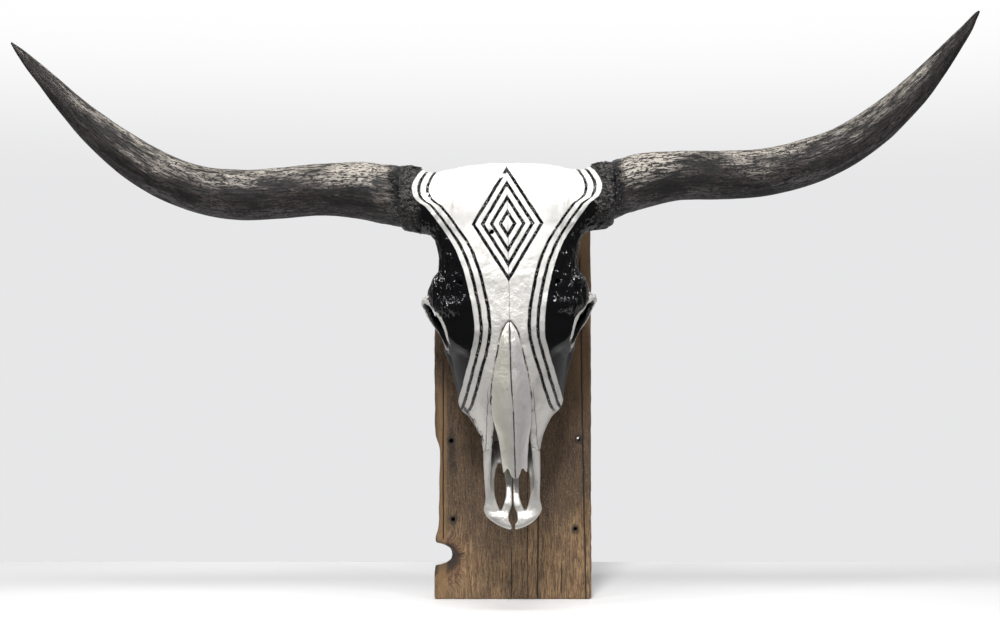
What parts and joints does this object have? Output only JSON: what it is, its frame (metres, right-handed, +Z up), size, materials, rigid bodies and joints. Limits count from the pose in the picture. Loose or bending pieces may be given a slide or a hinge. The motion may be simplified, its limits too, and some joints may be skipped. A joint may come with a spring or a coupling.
{
  "type": "painted longhorn cow skull mounted on a plank",
  "caption": "Life-size longhorn cow skull, nose down, with long upswept horns, on a weathered wooden plank that hangs on a wall.",
  "frame": {"origin": "middle of the plank's back face, which lies flat on the wall", "axes": "+X to the right along the spread of the horns as one looks at the face, +Y into the wall, +Z up, away from the muzzle"},
  "size_m": [1.3073, 0.2557, 0.836],
  "materials": {
    "painted_skull": "gloss black paint at the sides, pearly silver-white paint on the face, black pinstripes",
    "painted_nose": "pearly silver-white paint, satin",
    "horn": "dry dark grey-brown horn with paler worn streaks",
    "old_wood": "bare weathered board with nail holes and cracks"
  },
  "bodies": {
    "root": {"cranium": "painted_skull", "nasal_left": "painted_nose", "nasal_right": "painted_nose", "premaxilla_left": "painted_nose", "premaxilla_right": "painted_nose", "horn_left": "horn", "horn_right": "horn", "plank": "old_wood"}
  },
  "joints": []
}
